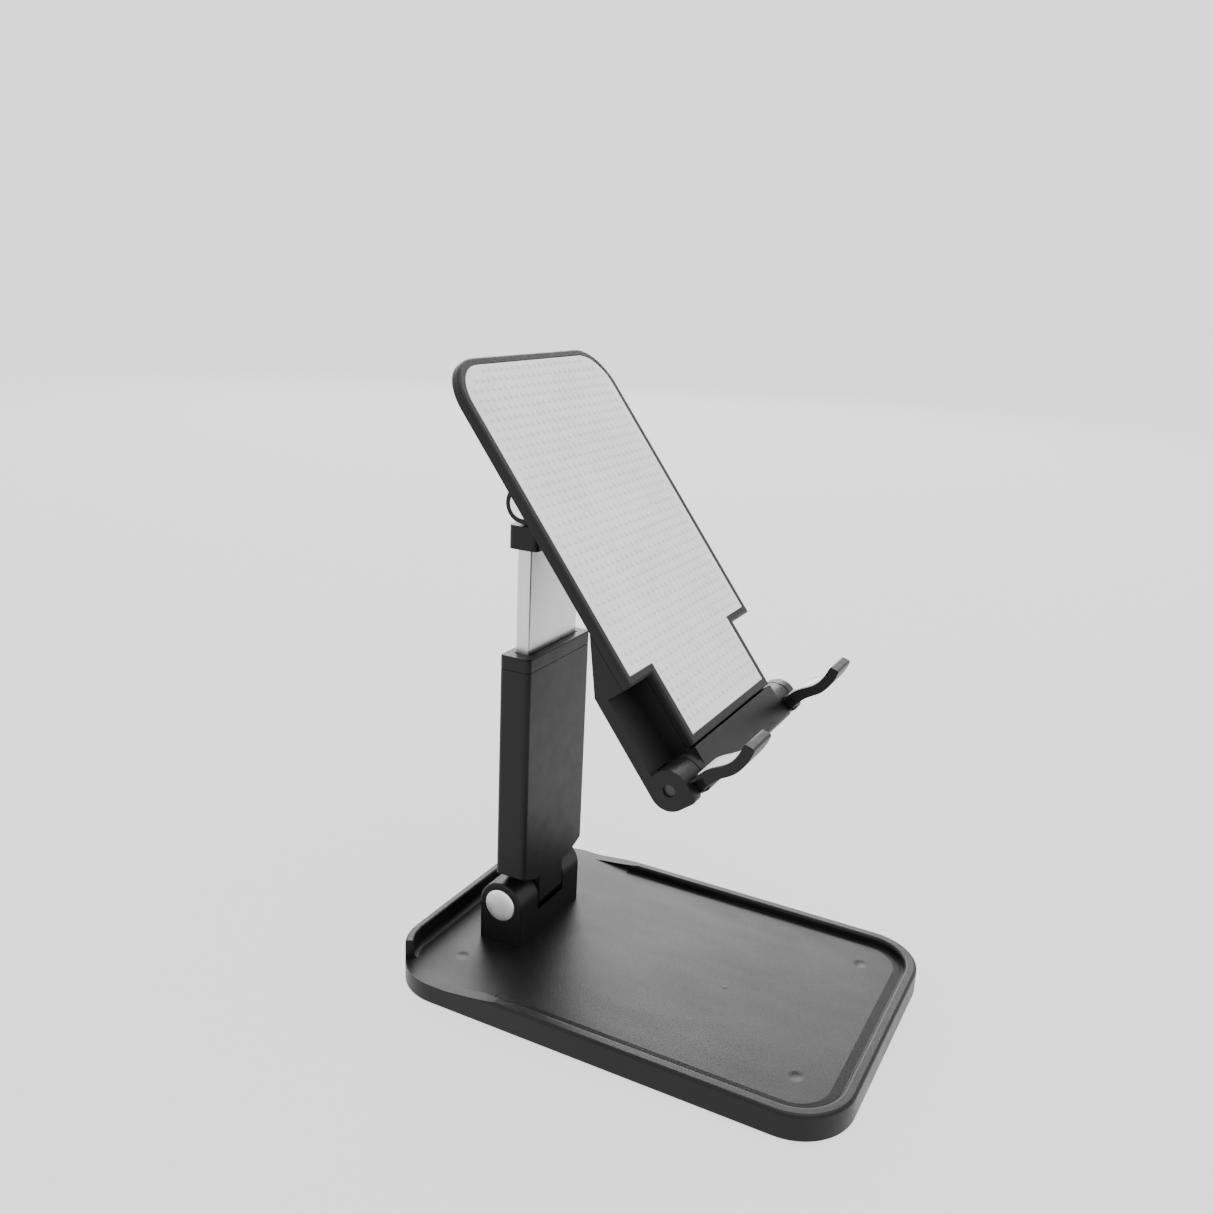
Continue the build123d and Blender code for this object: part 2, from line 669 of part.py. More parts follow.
with BuildPart() as head_front:
    with BuildSketch(head_face(parting_n)):
        plate_outline(0, front_bottom_s)
        for side in (-1, 1):
            with Locations((side * (pocket_inner_x + plate_side_x) / 2, (pocket_top_s + front_bottom_s) / 2)):
                Rectangle(plate_side_x - pocket_inner_x, pocket_top_s - front_bottom_s, mode=Mode.SUBTRACT)
    extrude(amount=front_thick)
    fillet(head_front.faces().sort_by(head_face_axis)[-1].edges(), front_edge_r)
    with BuildSketch(head_face(plate_front_n)):
        plate_outline(pad_border, pocket_top_s + pad_border)
        with Locations((0, (pocket_top_s + front_bottom_s) / 2 + pad_border)):
            Rectangle(2 * (pocket_inner_x - pad_border), pocket_top_s - front_bottom_s)
    extrude(amount=-pad_thick, mode=Mode.SUBTRACT)
    # Posts that reach back to the seats, with a blind hole for each screw
    with BuildSketch(head_face(parting_n)):
        for s in head_screw_s:
            with Locations((-head_screw_x, s), (head_screw_x, s)):
                Circle(head_boss_r)
    extrude(amount=cavity_back_n + head_seat_h + side_play - parting_n)
    with BuildSketch(head_face(cavity_back_n)):
        for s in head_screw_s:
            with Locations((-head_screw_x, s), (head_screw_x, s)):
                Circle(head_screw_r)
    extrude(amount=parting_n - cavity_back_n, mode=Mode.SUBTRACT)

with BuildPart() as head_pad:
    with BuildSketch(head_face(plate_front_n)):
        plate_outline(pad_border, pocket_top_s + pad_border)
        with Locations((0, (pocket_top_s + front_bottom_s) / 2 + pad_border)):
            Rectangle(2 * (pocket_inner_x - pad_border), pocket_top_s - front_bottom_s)
    extrude(amount=-pad_thick)

with BuildPart() as head_screws:
    with BuildSketch(head_face(plate_back_n)):
        for s in head_screw_s:
            with Locations((-head_screw_x, s), (head_screw_x, s)):
                Circle(head_screw_head_r)
    extrude(amount=head_screw_head_h)
    with BuildSketch(head_face(plate_back_n)):
        for s in head_screw_s:
            with Locations((-head_screw_x, s), (head_screw_x, s)):
                Circle(head_screw_r)
    extrude(amount=parting_n - plate_back_n)

# ---- Hooks ----


def hook_points(line, drop=0.0):
    """The points of one of the hook's outlines in the head's profile plane, lowered along s."""
    return [(roll_s + s - drop, plate_front_n + n) for s, n in line]


def hook_pad_outline():
    """The edges of the lining's profile, on the inner side of the hook and a little proud of it."""
    with BuildLine() as outline:
        top = Spline(*hook_points(hook_inner_line[1:-1], -hook_pad_proud))
        low = Spline(*hook_points(hook_inner_line[1:-1], hook_pad_thick))
        Line(top @ 0, low @ 0)
        Line(top @ 1, low @ 1)
    return outline.edges()


with BuildPart() as hook_right:
    with BuildSketch(head_side(hook_inner_x)):
        with BuildLine():
            inner = Spline(*hook_points(hook_inner_line))
            outer = Spline(*hook_points(hook_outer_line))
            Line(inner @ 0, outer @ 0)
            Line(inner @ 1, outer @ 1)
        make_face()
    extrude(amount=hook_width)
    fillet(hook_right.edges().filter_by(Axis.X).sort_by(head_face_axis)[-2:], hook_lip_r)
    # Beside the tongue the arm is notched, which leaves room for the barrel
    for notch_x in (hook_inner_x, hook_slot_x + hook_tongue_width):
        with BuildSketch(head_side(notch_x)):
            with Locations((roll_s + hook_notch_s - roll_r, plate_front_n)):
                Rectangle(2 * roll_r, 2 * hook_notch_length)
        extrude(amount=hook_tongue_inset, mode=Mode.SUBTRACT)
    with BuildSketch(head_side(hook_slot_x)):
        with Locations((roll_s, roll_n)):
            Circle(roll_r - side_play)
        with BuildLine():
            Polyline(
                (roll_s, roll_n),
                (roll_s - roll_r + side_play, roll_n),
                (roll_s - roll_r + 2 * side_play, roll_n + roll_r / 2),
                (roll_s + hook_outer_line[0][0], plate_front_n + hook_outer_line[0][1]),
                (roll_s + hook_outer_line[0][0], plate_front_n + hook_root),
                (roll_s, plate_front_n + hook_root),
                close=True,
            )
        make_face()
    extrude(amount=hook_tongue_width)
    with Locations(head_side(hook_slot_x + hook_tongue_width / 2)):
        with Locations((roll_s, roll_n)):
            Cylinder(hook_pin_r + running_clearance, hook_tongue_width, mode=Mode.SUBTRACT)
    with BuildSketch(head_side(hook_inner_x + hook_pad_side)):
        make_face(hook_pad_outline())
    extrude(amount=hook_width - 2 * hook_pad_side, mode=Mode.SUBTRACT)

with BuildPart() as hook_left:
    mirror(hook_right.part, about=Plane.YZ)

with BuildPart() as hook_pad_right:
    with BuildSketch(head_side(hook_inner_x + hook_pad_side)):
        make_face(hook_pad_outline())
    extrude(amount=hook_width - 2 * hook_pad_side)

with BuildPart() as hook_pad_left:
    mirror(hook_pad_right.part, about=Plane.YZ)

with BuildPart() as hook_pin_right:
    with BuildSketch(head_side(pocket_inner_x)):
        with Locations((roll_s, roll_n)):
            Circle(hook_pin_r)
    extrude(amount=plate_side_x - hook_pin_inset - pocket_inner_x)

with BuildPart() as hook_pin_left:
    mirror(hook_pin_right.part, about=Plane.YZ)

pieces = {
    "base_tray": base_tray,
    "bottom_cover": bottom_cover,
    "counterweight": counterweight,
    "foot_pad": foot_pad,
    "cover_screws": cover_screws,
    "base_hinge_pin": base_hinge_pin,
    "base_hinge_nut": base_hinge_nut,
    "base_hinge_cap_left": base_hinge_cap_left,
    "base_hinge_cap_right": base_hinge_cap_right,
    "base_hinge_washers": base_hinge_washers,
    "arm_tube": arm_tube,
    "arm_collar": arm_collar,
    "slider_bar": slider_bar,
    "slider_shoe": slider_shoe,
    "brake_spring": brake_spring,
    "slider_head": slider_head,
    "slider_screws": slider_screws,
    "head_hinge_pin": head_hinge_pin,
    "head_hinge_cap_left": head_hinge_cap_left,
    "head_hinge_cap_right": head_hinge_cap_right,
    "head_hinge_washers": head_hinge_washers,
    "head_back": head_back,
    "head_front": head_front,
    "head_pad": head_pad,
    "head_screws": head_screws,
    "hook_left": hook_left,
    "hook_right": hook_right,
    "hook_pad_left": hook_pad_left,
    "hook_pad_right": hook_pad_right,
    "hook_pin_left": hook_pin_left,
    "hook_pin_right": hook_pin_right,
}

os.makedirs("parts", exist_ok=True)
for name, piece in pieces.items():
    piece.part.label = name
    export_step(piece.part, f"parts/{name}.step")
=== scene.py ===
"""Looks of the phone stand: black tray base, telescopic arm and tilting padded head with hooks."""
import json
from math import cos, pi, radians, sin

import bmesh
import bpy
from mathutils import Matrix, Vector

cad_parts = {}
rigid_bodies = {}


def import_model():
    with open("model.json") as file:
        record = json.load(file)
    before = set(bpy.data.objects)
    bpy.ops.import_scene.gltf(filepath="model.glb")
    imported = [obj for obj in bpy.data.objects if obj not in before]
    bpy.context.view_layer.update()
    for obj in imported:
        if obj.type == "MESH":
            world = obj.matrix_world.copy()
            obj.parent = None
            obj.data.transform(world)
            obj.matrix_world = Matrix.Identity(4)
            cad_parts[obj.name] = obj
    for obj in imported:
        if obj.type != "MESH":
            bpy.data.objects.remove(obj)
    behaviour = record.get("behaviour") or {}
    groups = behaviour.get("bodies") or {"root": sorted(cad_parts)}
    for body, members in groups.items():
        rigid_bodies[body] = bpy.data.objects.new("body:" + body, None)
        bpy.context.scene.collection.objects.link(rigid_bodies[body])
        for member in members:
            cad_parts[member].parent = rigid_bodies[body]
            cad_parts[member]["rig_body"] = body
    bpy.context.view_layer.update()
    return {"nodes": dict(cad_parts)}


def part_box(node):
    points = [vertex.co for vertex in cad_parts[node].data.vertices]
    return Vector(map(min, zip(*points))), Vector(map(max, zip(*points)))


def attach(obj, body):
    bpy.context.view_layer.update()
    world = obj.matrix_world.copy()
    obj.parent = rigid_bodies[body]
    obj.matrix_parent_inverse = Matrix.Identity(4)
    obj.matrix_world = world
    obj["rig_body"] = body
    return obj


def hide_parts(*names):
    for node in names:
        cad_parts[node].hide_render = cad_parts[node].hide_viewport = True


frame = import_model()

scene = bpy.context.scene
mm = 0.001

# ---- Camera ----
# Stands in front and to the left of the stand, a little above the head, and looks down at it.

camera_place = (-0.20397, -0.08700, 0.15001)
camera_data = bpy.data.cameras.new("camera")
camera_data.sensor_width = 36.0
camera_data.lens = 34.35
camera_data.shift_x = -0.0080
camera_data.shift_y = 0.0046
camera = bpy.data.objects.new("camera", camera_data)
scene.collection.objects.link(camera)
yaw, pitch, roll = radians(63.31), radians(16.71), radians(2.836)
forward = Vector((sin(yaw) * cos(pitch), cos(yaw) * cos(pitch), -sin(pitch)))
level_right = Vector((cos(yaw), -sin(yaw), 0))
level_up = level_right.cross(forward)
right = cos(roll) * level_right + sin(roll) * level_up
up = right.cross(forward)
turn = Matrix((right, up, -forward)).transposed()
camera.matrix_world = Matrix.Translation(camera_place) @ turn.to_4x4()
scene.camera = camera

# ---- Studio ----
# A plain pale floor that mostly glows, so it meets the white surround without a line, and two soft
# panels of light.

surround_light = 1.7
floor_glow = 0.85
floor_reach = 6.0

floor_mesh = bpy.data.meshes.new("studio_floor")
floor_form = bmesh.new()
bmesh.ops.create_grid(floor_form, x_segments=1, y_segments=1, size=floor_reach)
floor_form.to_mesh(floor_mesh)
floor_form.free()
studio_floor = bpy.data.objects.new("studio_floor", floor_mesh)
scene.collection.objects.link(studio_floor)
paper = bpy.data.materials.new("floor_paper")
paper.use_nodes = True
paper_shader = paper.node_tree.nodes["Principled BSDF"]
paper_shader.inputs["Base Color"].default_value = (*[1 - floor_glow] * 3, 1)
paper_shader.inputs["Emission Color"].default_value = (1, 1, 1, 1)
paper_shader.inputs["Emission Strength"].default_value = floor_glow * surround_light
paper_shader.inputs["Roughness"].default_value = 0.9
paper_shader.inputs["Specular IOR Level"].default_value = 0.0
floor_mesh.materials.append(paper)

surround = bpy.data.worlds.new("surround")
surround.use_nodes = True
surround.node_tree.nodes["Background"].inputs["Color"].default_value = (1, 1, 1, 1)
surround.node_tree.nodes["Background"].inputs["Strength"].default_value = surround_light
scene.world = surround


def light_panel(name, place, aim, width, height, power):
    lamp = bpy.data.lights.new(name, "AREA")
    lamp.shape = "RECTANGLE"
    lamp.size = width
    lamp.size_y = height
    lamp.energy = power
    panel = bpy.data.objects.new(name, lamp)
    panel.location = place
    panel.rotation_euler = (Vector(aim) - Vector(place)).to_track_quat("-Z", "Y").to_euler()
    scene.collection.objects.link(panel)


light_panel(
    "window_light", place=(0.95, 0.50, 0.55), aim=(0, 0, 0.02), width=0.9, height=0.6, power=15
)
light_panel("top_light", place=(-0.05, -0.2, 0.9), aim=(0, 0, 0.05), width=0.7, height=0.7, power=5)

# ---- Base tray ----
# The weighted base is one shell of black ABS, injection moulded with a fine texture, with the hinge
# block on its floor. Its floor has faint sink marks over the four screw bosses and one gate mark.

noise_low, noise_high = 0.3, 0.7  # a noise value mostly lies between these
merge_gap = 0.0005 * mm
flat_angle = radians(0.4)


class Recipe:
    """A node material under construction: makes nodes, links them and hands back their outputs."""

    def __init__(self, name):
        self.material = bpy.data.materials.new(name)
        self.material.use_nodes = True
        self.tree = self.material.node_tree
        self.shader = self.tree.nodes["Principled BSDF"]
        self.place = self.tree.nodes.new("ShaderNodeTexCoord").outputs["Object"]

    def node(self, kind, settings=None, **sockets):
        made = self.tree.nodes.new(kind)
        for key, value in (settings or {}).items():
            setattr(made, key, value)
        for key, value in sockets.items():
            socket = made.inputs[int(key[1:]) if key[0] == "_" else key.replace("_", " ")]
            if isinstance(value, bpy.types.NodeSocket):
                self.tree.links.new(value, socket)
            else:
                socket.default_value = value
        return made

    def noise(self, scale, detail=2.0, stretch=None, rough=0.5):
        where = self.place
        if stretch:
            stretched = self.node("ShaderNodeMapping", Vector=self.place, Scale=stretch)
            where = stretched.outputs[0]
        made = self.node(
            "ShaderNodeTexNoise", Vector=where, Scale=scale, Detail=detail, Roughness=rough
        )
        return made.outputs[0]

    def span(self, value, low, high, start=noise_low, stop=noise_high, how="LINEAR"):
        """Maps a value between start and stop to one between low and high."""
        ends = {"From_Min": start, "From_Max": stop, "To_Min": low, "To_Max": high}
        made = self.node("ShaderNodeMapRange", {"interpolation_type": how}, Value=value, **ends)
        return made.outputs[0]

    def away_from(self, point, axes, where=None):
        """How far a place is from this point, counting only the axes given as 1."""
        flat = self.node(
            "ShaderNodeVectorMath",
            {"operation": "MULTIPLY"},
            _0=self.place if where is None else where,
            _1=axes,
        )
        away = self.node(
            "ShaderNodeVectorMath", {"operation": "DISTANCE"}, _0=flat.outputs[0], _1=point
        )
        return away.outputs[1]

    def sum(self, first, second, how="ADD"):
        return self.node("ShaderNodeMath", {"operation": how}, _0=first, _1=second).outputs[0]

    def shade(self, value, dark, light):
        ramp = self.node("ShaderNodeValToRGB", Fac=value)
        ramp.color_ramp.elements[0].position = noise_low
        ramp.color_ramp.elements[0].color = (*dark, 1)
        ramp.color_ramp.elements[1].position = noise_high
        ramp.color_ramp.elements[1].color = (*light, 1)
        return ramp.outputs[0]

    def finish(self, color, roughness, height, depth, **fixed):
        """Wires up the shader. Each fixed value is set directly on the socket of that name."""
        self.tree.links.new(color, self.shader.inputs["Base Color"])
        self.tree.links.new(roughness, self.shader.inputs["Roughness"])
        bump = self.node("ShaderNodeBump", Height=height, Strength=1.0, Distance=depth)
        self.tree.links.new(bump.outputs[0], self.shader.inputs["Normal"])
        for key, value in fixed.items():
            self.shader.inputs[key.replace("_", " ")].default_value = value
        return self.material


def moulded_black(name, least_rough, most_rough, marks=None):
    """Near-black ABS with a fine moulded grain, cloudy gloss and faint rubbed streaks."""
    recipe = Recipe(name)
    cloud = recipe.noise(28.0, 3.0)
    rubbed = recipe.noise(260.0, 4.0, stretch=(1.0, 0.25, 1.0))
    grain = recipe.noise(5200.0, 2.0)
    uneven_gloss = recipe.span(cloud, least_rough, most_rough)
    gloss = recipe.sum(uneven_gloss, recipe.span(rubbed, -0.03, 0.03))
    height = recipe.span(grain, 0.0, 1.0)
    if marks:
        height = recipe.sum(height, marks(recipe))
    color = recipe.shade(cloud, (0.0034, 0.0034, 0.0037), (0.0060, 0.0060, 0.0063))
    return recipe.finish(color, gloss, height, 0.018 * mm, Specular_IOR_Level=0.19)


def sink_marks(recipe):
    """Four shallow dips over the screw bosses and a small gate mark, as height for the bump."""
    boss_x, boss_y, boss_r, dip = 21.5 * mm, 38.0 * mm, 1.9 * mm, -9.0
    gate_x, gate_y, gate_r, bump = -2.2 * mm, -15.6 * mm, 0.8 * mm, 3.0
    folded = recipe.node("ShaderNodeVectorMath", {"operation": "ABSOLUTE"}, _0=recipe.place)
    from_boss = recipe.away_from((boss_x, boss_y, 0), (1, 1, 0), folded.outputs[0])
    from_gate = recipe.away_from((gate_x, gate_y, 0), (1, 1, 0))
    dips = recipe.span(from_boss, dip, 0.0, 0.0, boss_r, "SMOOTHERSTEP")
    gate = recipe.span(from_gate, bump, 0.0, 0.3 * gate_r, gate_r, "SMOOTHERSTEP")
    return recipe.sum(dips, gate)


def finish_node(node, material):
    """Gives a carried-over CAD node this material on all its faces."""
    slots = frame["nodes"][node].data.materials
    slots.clear()
    slots.append(material)


def merged_form(node):
    """A CAD node's mesh, with the doubled points where its faces meet merged."""
    form = bmesh.new()
    form.from_mesh(frame["nodes"][node].data)
    bmesh.ops.remove_doubles(form, verts=form.verts, dist=merge_gap)
    return form


def round_edges(form, edges, width, steps):
    bmesh.ops.bevel(
        form,
        geom=edges,
        offset=width,
        affect="EDGES",
        segments=steps,
        profile=0.5,
        material=-1,
        clamp_overlap=True,
    )


def softened(node, width, material, name=None, sharp=35.0):
    """A copy of a CAD node, with its outer edges over the sharp angle rounded, to stand for it."""
    form = merged_form(node)
    bmesh.ops.dissolve_degenerate(form, dist=4 * merge_gap, edges=form.edges)
    bmesh.ops.dissolve_limit(form, angle_limit=flat_angle, verts=form.verts, edges=form.edges)
    outer = [
        edge
        for edge in form.edges
        if len(edge.link_faces) == 2 and edge.is_convex and edge.calc_face_angle() > radians(sharp)
    ]
    round_edges(form, outer, width, 2)
    body = frame["nodes"][node]["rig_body"]
    return piece_from(form, name or node + "_shell", material, body, node)


def piece_from(form, name, material, body, node, smooth=32.0):
    """Turns a finished bmesh into a piece that rides on a body and stands for this CAD node."""
    mesh = bpy.data.meshes.new(name)
    form.to_mesh(mesh)
    form.free()
    mesh.materials.clear()
    mesh.materials.append(material)
    mesh.shade_smooth()
    mesh.set_sharp_from_angle(angle=radians(smooth))
    piece = bpy.data.objects.new(name, mesh)
    scene.collection.objects.link(piece)
    shading = piece.modifiers.new("even_shading", "WEIGHTED_NORMAL")
    shading.keep_sharp = True
    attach(piece, body)
    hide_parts(node)
    return piece


tray_plastic = moulded_black("tray_plastic", 0.34, 0.42, sink_marks)
finish_node("base_tray", tray_plastic)

# ---- Cover, weight and screws under the base ----
# A flat ABS cover closes the tray from below over a zinc-plated steel weight. Four steel screws
# hold it.

body_plastic = moulded_black("body_plastic", 0.40, 0.50)
finish_node("bottom_cover", body_plastic)


def plated_steel(name, dark, light, least_rough):
    """Zinc-plated or blackened steel with a faint crystalline mottle."""
    recipe = Recipe(name)
    mottle = recipe.noise(900.0, 5.0)
    gloss = recipe.span(mottle, least_rough, least_rough + 0.14)
    return recipe.finish(recipe.shade(mottle, dark, light), gloss, mottle, 0.01 * mm, Metallic=1.0)


zinc = plated_steel("zinc_plate", (0.42, 0.42, 0.43), (0.56, 0.56, 0.57), 0.28)
blackened = plated_steel("blackened_steel", (0.035, 0.035, 0.037), (0.06, 0.06, 0.062), 0.34)
for node in ("counterweight", "cover_screws"):
    finish_node(node, zinc)

# ---- Foot pad ----
# A sheet of soft black rubber glued under the cover, with a rounded edge and a sunk line round it.

foot_corner_r = 8.0 * mm
foot_edge_r = 0.25 * mm
foot_line_inset = 3.0 * mm
foot_line_width = 0.8 * mm
foot_line_depth = 0.25 * mm
foot_line_slope = 0.2 * mm


def rounded_slab(low, high, corner_r, edge_r, corner_steps, edge_steps):
    """A flat block between two corners, rounded in plan and along the edges of both faces."""
    form = bmesh.new()
    bmesh.ops.create_cube(form, size=1.0)
    bmesh.ops.scale(form, vec=high - low, verts=form.verts)
    bmesh.ops.translate(form, vec=(low + high) / 2, verts=form.verts)
    upright = [edge for edge in form.edges if edge.verts[0].co.xy == edge.verts[1].co.xy]
    round_edges(form, upright, corner_r, corner_steps)
    caps = [face for face in form.faces if abs(face.normal.z) > 0.999]
    rims = [edge for edge in form.edges if any(face in caps for face in edge.link_faces)]
    round_edges(form, rims, edge_r, edge_steps)
    return form


rubber_recipe = Recipe("foot_rubber")
rubber_bloom = rubber_recipe.noise(120.0, 4.0)
rubber_grain = rubber_recipe.noise(2600.0, 3.0)
foot_rubber = rubber_recipe.finish(
    rubber_recipe.shade(rubber_bloom, (0.020, 0.020, 0.020), (0.032, 0.032, 0.031)),
    rubber_recipe.span(rubber_bloom, 0.72, 0.86),
    rubber_grain,
    0.05 * mm,
    Specular_IOR_Level=0.35,
)
foot_low, foot_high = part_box("foot_pad")
foot_form = rounded_slab(
    foot_low, foot_high, foot_corner_r, foot_edge_r, corner_steps=10, edge_steps=3
)
sole = [face for face in foot_form.faces if face.normal.z < -0.999]
bmesh.ops.inset_region(foot_form, faces=sole, thickness=foot_line_inset)
bmesh.ops.inset_region(foot_form, faces=sole, thickness=foot_line_slope)
sunk = bmesh.ops.inset_region(foot_form, faces=sole, thickness=foot_line_width)["faces"]
bmesh.ops.inset_region(foot_form, faces=sole, thickness=foot_line_slope)
sunk_verts = list({vert for face in sunk for vert in face.verts})
bmesh.ops.translate(foot_form, vec=(0, 0, foot_line_depth), verts=sunk_verts)
piece_from(foot_form, "foot_pad_rubber", foot_rubber, "base", "foot_pad")

# ---- Base hinge ----
# A steel pin has its head in one ear and a nut in the other, with black acetal friction washers
# beside the tongue. Turned aluminium discs are pressed into the ears over both ends.

finish_node("base_hinge_pin", zinc)
finish_node("base_hinge_nut", zinc)

acetal_recipe = Recipe("black_acetal")
acetal_sheen = acetal_recipe.noise(400.0, 3.0)
black_acetal = acetal_recipe.finish(
    acetal_recipe.shade(acetal_sheen, (0.014, 0.014, 0.014), (0.022, 0.022, 0.022)),
    acetal_recipe.span(acetal_sheen, 0.30, 0.38),
    acetal_sheen,
    0.01 * mm,
)
finish_node("base_hinge_washers", black_acetal)


disc_rim_r = 0.22 * mm
disc_crown = 0.05 * mm
disc_shoulder = 0.55  # the crown bends at this part of the radius
disc_sides = 64


def turned_aluminium(name, axis_y, axis_z):
    """Satin aluminium with the fine rings of a lathe tool round an axis along X."""
    recipe = Recipe(name)
    off_axis = recipe.away_from((0, axis_y, axis_z), (0, 1, 1))
    rings = recipe.node(
        "ShaderNodeTexNoise", {"noise_dimensions": "1D"}, W=off_axis, Scale=9000.0, Detail=2.0
    ).outputs[0]
    smear = recipe.noise(350.0, 4.0)
    gloss = recipe.sum(recipe.span(smear, 0.38, 0.46), recipe.span(rings, -0.02, 0.02))
    color = recipe.shade(smear, (0.90, 0.90, 0.905), (0.95, 0.95, 0.952))
    return recipe.finish(color, gloss, rings, 0.0015 * mm, Metallic=1.0)


def hinge_disc(node, name, material, body):
    """A turned disc spun about its pin's axis, slightly crowned, with a small rounded rim."""
    low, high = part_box(node)
    centre = (low + high) / 2
    out = 1 if centre.x > 0 else -1
    seat_x, face_x = (low.x, high.x) if out > 0 else (high.x, low.x)
    radius = (high.z - low.z) / 2
    form = bmesh.new()
    profile = [(seat_x, 0.0), (seat_x, radius), (face_x - out * (disc_rim_r + disc_crown), radius)]
    for turn_part in (0.35, 0.7, 1.0):
        angle = turn_part * pi / 2
        inwards = disc_crown + disc_rim_r * (1 - sin(angle))
        profile.append((face_x - out * inwards, radius - disc_rim_r * (1 - cos(angle))))
    profile.append((face_x - out * disc_crown * (1 - disc_shoulder), radius * disc_shoulder))
    profile.append((face_x, 0.0))
    verts = [form.verts.new((x, centre.y, centre.z + r)) for x, r in profile]
    edges = [form.edges.new(pair) for pair in zip(verts, verts[1:])]
    bmesh.ops.spin(
        form,
        geom=verts + edges,
        cent=centre,
        axis=(1, 0, 0),
        angle=2 * pi,
        steps=disc_sides,
        use_merge=True,
    )
    bmesh.ops.remove_doubles(form, verts=form.verts, dist=2 * merge_gap)
    bmesh.ops.recalc_face_normals(form, faces=form.faces)
    piece_from(form, name, material, body, node)


def hinge_discs(hinge, metal_name, body):
    """Both discs of one hinge, with the tool's rings centred on its pin."""
    low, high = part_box(hinge + "_cap_left")
    centre = (low + high) / 2
    metal = turned_aluminium(metal_name, centre.y, centre.z)
    for side in ("left", "right"):
        hinge_disc(f"{hinge}_cap_{side}", f"{hinge}_disc_{side}", metal, body)


hinge_discs("base_hinge", "base_disc_aluminium", "base")

# ---- Telescopic arm ----
# The outer tube and its collar are moulded in black ABS. Inside, an acetal shoe on the end of a
# brushed aluminium bar slides in the tube, held by a bowed spring leaf.

tube_edge = 0.30 * mm
collar_edge = 0.20 * mm
bar_corner_r = 0.45 * mm
bar_edge_r = 0.2 * mm

arm_plastic = moulded_black("arm_plastic", 0.38, 0.47)
softened("arm_tube", tube_edge, arm_plastic)
softened("arm_collar", collar_edge, arm_plastic)
finish_node("slider_shoe", black_acetal)
finish_node("brake_spring", zinc)

brushed_recipe = Recipe("brushed_aluminium")
brushed_lines = brushed_recipe.noise(1.0, 3.0, stretch=(5200.0, 5200.0, 22.0), rough=0.65)
brushed_cloud = brushed_recipe.noise(70.0, 3.0)
brushed_aluminium = brushed_recipe.finish(
    brushed_recipe.shade(brushed_lines, (0.47, 0.475, 0.485), (0.60, 0.605, 0.61)),
    brushed_recipe.sum(
        brushed_recipe.span(brushed_lines, 0.27, 0.41),
        brushed_recipe.span(brushed_cloud, -0.03, 0.03),
    ),
    brushed_lines,
    0.012 * mm,
    Metallic=1.0,
)
bar_low, bar_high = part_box("slider_bar")
bar_form = rounded_slab(bar_low, bar_high, bar_corner_r, bar_edge_r, corner_steps=4, edge_steps=2)
piece_from(
    bar_form, "slider_bar_brushed", brushed_aluminium, "slider", "slider_bar"
)

# ---- Slider head ----
# A black ABS block closes the top of the bar and carries the round knuckle that the head turns on.
# Two blackened cross-head screws hold it from the back.

slider_head_edge = 0.25 * mm
slider_screw_head_r = 1.28 * mm
slider_screw_head_h = 0.8 * mm
screw_shank_r = 0.78 * mm
screw_sides = 24

softened("slider_head", slider_head_edge, arm_plastic)


def cross_head_screw(form, centre, outwards, head_r, head_h, reach):
    """Adds one screw: a low rounded head with a cross recess, and its shank."""
    cross = cross_outline(head_r * 0.62, head_r * 0.17)
    start = len(form.verts)
    profile = [
        (screw_shank_r, -reach),
        (screw_shank_r, -head_h),
        (head_r, -head_h),
        (head_r, -0.25 * head_h),
        (head_r * 0.93, -0.06 * head_h),
        (head_r * 0.80, 0.0),
    ]
    rings = [ring(form, radius, height) for radius, height in profile]
    for part, depth in ((1.0, 0.02), (0.8, 0.55)):
        rings.append(outline_loop(form, [(part * x, part * y, -depth * head_h) for x, y in cross]))
    for lower, upper in zip(rings, rings[1:]):
        bmesh.ops.bridge_loops(form, edges=lower + upper)
    for end in (rings[0], rings[-1]):
        bmesh.ops.contextual_create(form, geom=end)
    form.verts.ensure_lookup_table()
    made = form.verts[start:]
    stand = outwards.to_track_quat("Z", "Y").to_matrix().to_4x4()
    bmesh.ops.transform(form, matrix=Matrix.Translation(centre) @ stand, verts=made)


def ring(form, radius, height):
    angles = [2 * pi * side / screw_sides for side in range(screw_sides)]
    points = [(radius * cos(angle), radius * sin(angle), height) for angle in angles]
    return outline_loop(form, points)


def outline_loop(form, points):
    """The edges of a closed loop through these points."""
    verts = [form.verts.new(point) for point in points]
    return [form.edges.new((verts[k - 1], verts[k])) for k in range(len(verts))]


def cross_outline(arm, half):
    """The corners of a plus shape, with this arm length and half width."""
    quarter = [(arm, -half), (arm, half), (half, half)]
    points = []
    for turns in range(4):
        for x, y in quarter:
            for _ in range(turns):
                x, y = -y, x
            points.append((x, y))
    return points


def screws_for(node, name, outwards, head_r, head_h, body):
    """Replaces a CAD group of screws with cross-head ones in the same places."""
    form = bmesh.new()
    for centre, reach in solids_along(node, outwards):
        cross_head_screw(form, centre, outwards, head_r, head_h, reach)
    bmesh.ops.recalc_face_normals(form, faces=form.faces)
    piece_from(form, name, blackened, body, node, smooth=40.0)


